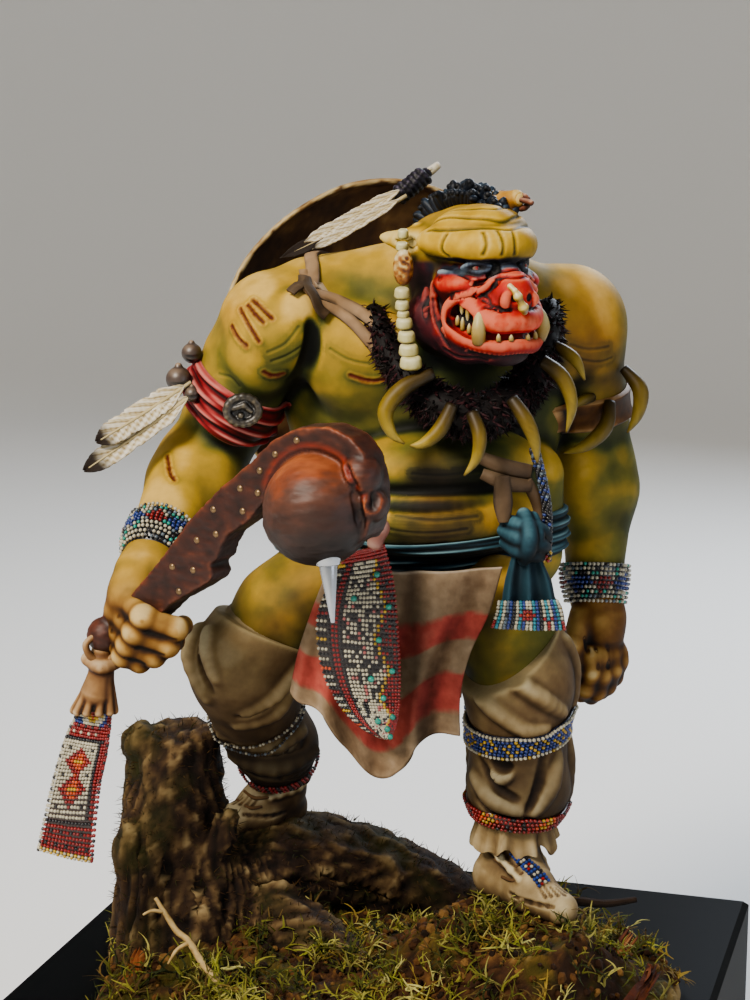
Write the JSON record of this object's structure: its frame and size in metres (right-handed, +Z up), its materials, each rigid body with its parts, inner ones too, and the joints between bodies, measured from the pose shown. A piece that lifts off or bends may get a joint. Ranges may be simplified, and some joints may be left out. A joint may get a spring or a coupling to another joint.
{
  "type": "painted miniature figure",
  "caption": "Hunched fantasy brute miniature in plains-style dress with ball-headed war club, hide shield and beadwork, on driftwood and a square plinth.",
  "frame": {"origin": "centre of the plinth's underside", "axes": "+Z up; the plinth's front faces -Y and its sides are parallel to X and Y; the figure looks mostly towards -Y, turned a little towards +X"},
  "size_m": [0.07, 0.07, 0.1088],
  "materials": {
    "plinth_lacquer": "satin black lacquer",
    "earth": "matt textured putty and grit",
    "driftwood": "matt weathered wood",
    "moss": "matt fibre",
    "lichen": "matt fibre",
    "bark": "matt flakes",
    "twig": "matt",
    "skin_paint": "matt acrylic, glazed from olive to ochre",
    "hair_paint": "matt acrylic, blue-black",
    "fur_paint": "matt acrylic, drybrushed brown",
    "ivory_paint": "satin acrylic, bone and tooth",
    "claw_paint": "satin acrylic, ochre to dark brown tips",
    "gold_paint": "painted brass",
    "feather_paint": "matt acrylic, dark tips",
    "strap_paint": "matt acrylic, tan leather",
    "dark_leather_paint": "matt acrylic, dark leather",
    "hide_paint": "matt acrylic, raw hide",
    "dark_metal_paint": "satin acrylic, dark bronze",
    "crimson_cloth_paint": "matt acrylic, crimson cloth",
    "sash_paint": "matt acrylic, teal cloth",
    "wool_paint": "matt acrylic, tan wool with red bands",
    "buckskin_paint": "matt acrylic, buckskin",
    "beadwork_paint": "satin acrylic, rows of small painted beads",
    "club_wood_paint": "satin acrylic, red-brown wood",
    "steel_paint": "painted steel",
    "pin_steel": "bare wire"
  },
  "bodies": {
    "root": {"plinth": "plinth_lacquer", "groundwork": "earth", "driftwood": "driftwood", "moss_tufts": "moss", "lichen_tufts": "lichen", "bark_pieces": "bark", "pale_twig": "twig", "torso": "skin_paint", "head": "skin_paint", "right_arm": "skin_paint", "left_arm": "skin_paint", "right_hand": "skin_paint", "left_hand": "skin_paint", "right_leg": "skin_paint", "left_leg": "skin_paint", "hair_crest": "hair_paint", "ear_plug": "dark_leather_paint", "tusks": "ivory_paint", "nose_ornament": "gold_paint", "crest_feathers": "feather_paint", "feather_wrap": "hair_paint", "bone_bead_drop": "ivory_paint", "necklace_collar": "fur_paint", "necklace_claws": "claw_paint", "chest_straps": "strap_paint", "strap_toggle": "strap_paint", "bead_cord": "beadwork_paint", "shield": "hide_paint", "shield_pin": "pin_steel", "right_armband": "crimson_cloth_paint", "armband_brooch": "dark_metal_paint", "armband_bells": "dark_metal_paint", "armband_feathers": "feather_paint", "left_armband": "dark_leather_paint", "left_armband_claws": "claw_paint", "right_cuff": "beadwork_paint", "left_cuff": "beadwork_paint", "sash": "sash_paint", "sash_knot": "sash_paint", "sash_tail": "sash_paint", "sash_tail_beadwork": "beadwork_paint", "breechcloth_front": "wool_paint", "breechcloth_rear": "wool_paint", "knife_sheath": "beadwork_paint", "knife_hilt": "ivory_paint", "right_legging": "buckskin_paint", "left_legging": "buckskin_paint", "right_garter": "beadwork_paint", "left_garter": "beadwork_paint", "ankle_bands": "beadwork_paint", "right_moccasin": "buckskin_paint", "left_moccasin": "buckskin_paint", "war_club": "club_wood_paint", "club_spike": "steel_paint", "club_tacks": "gold_paint", "thong_loop": "strap_paint", "drop_collar": "strap_paint", "bead_drop": "beadwork_paint", "foot_pins": "pin_steel"}
  },
  "joints": []
}
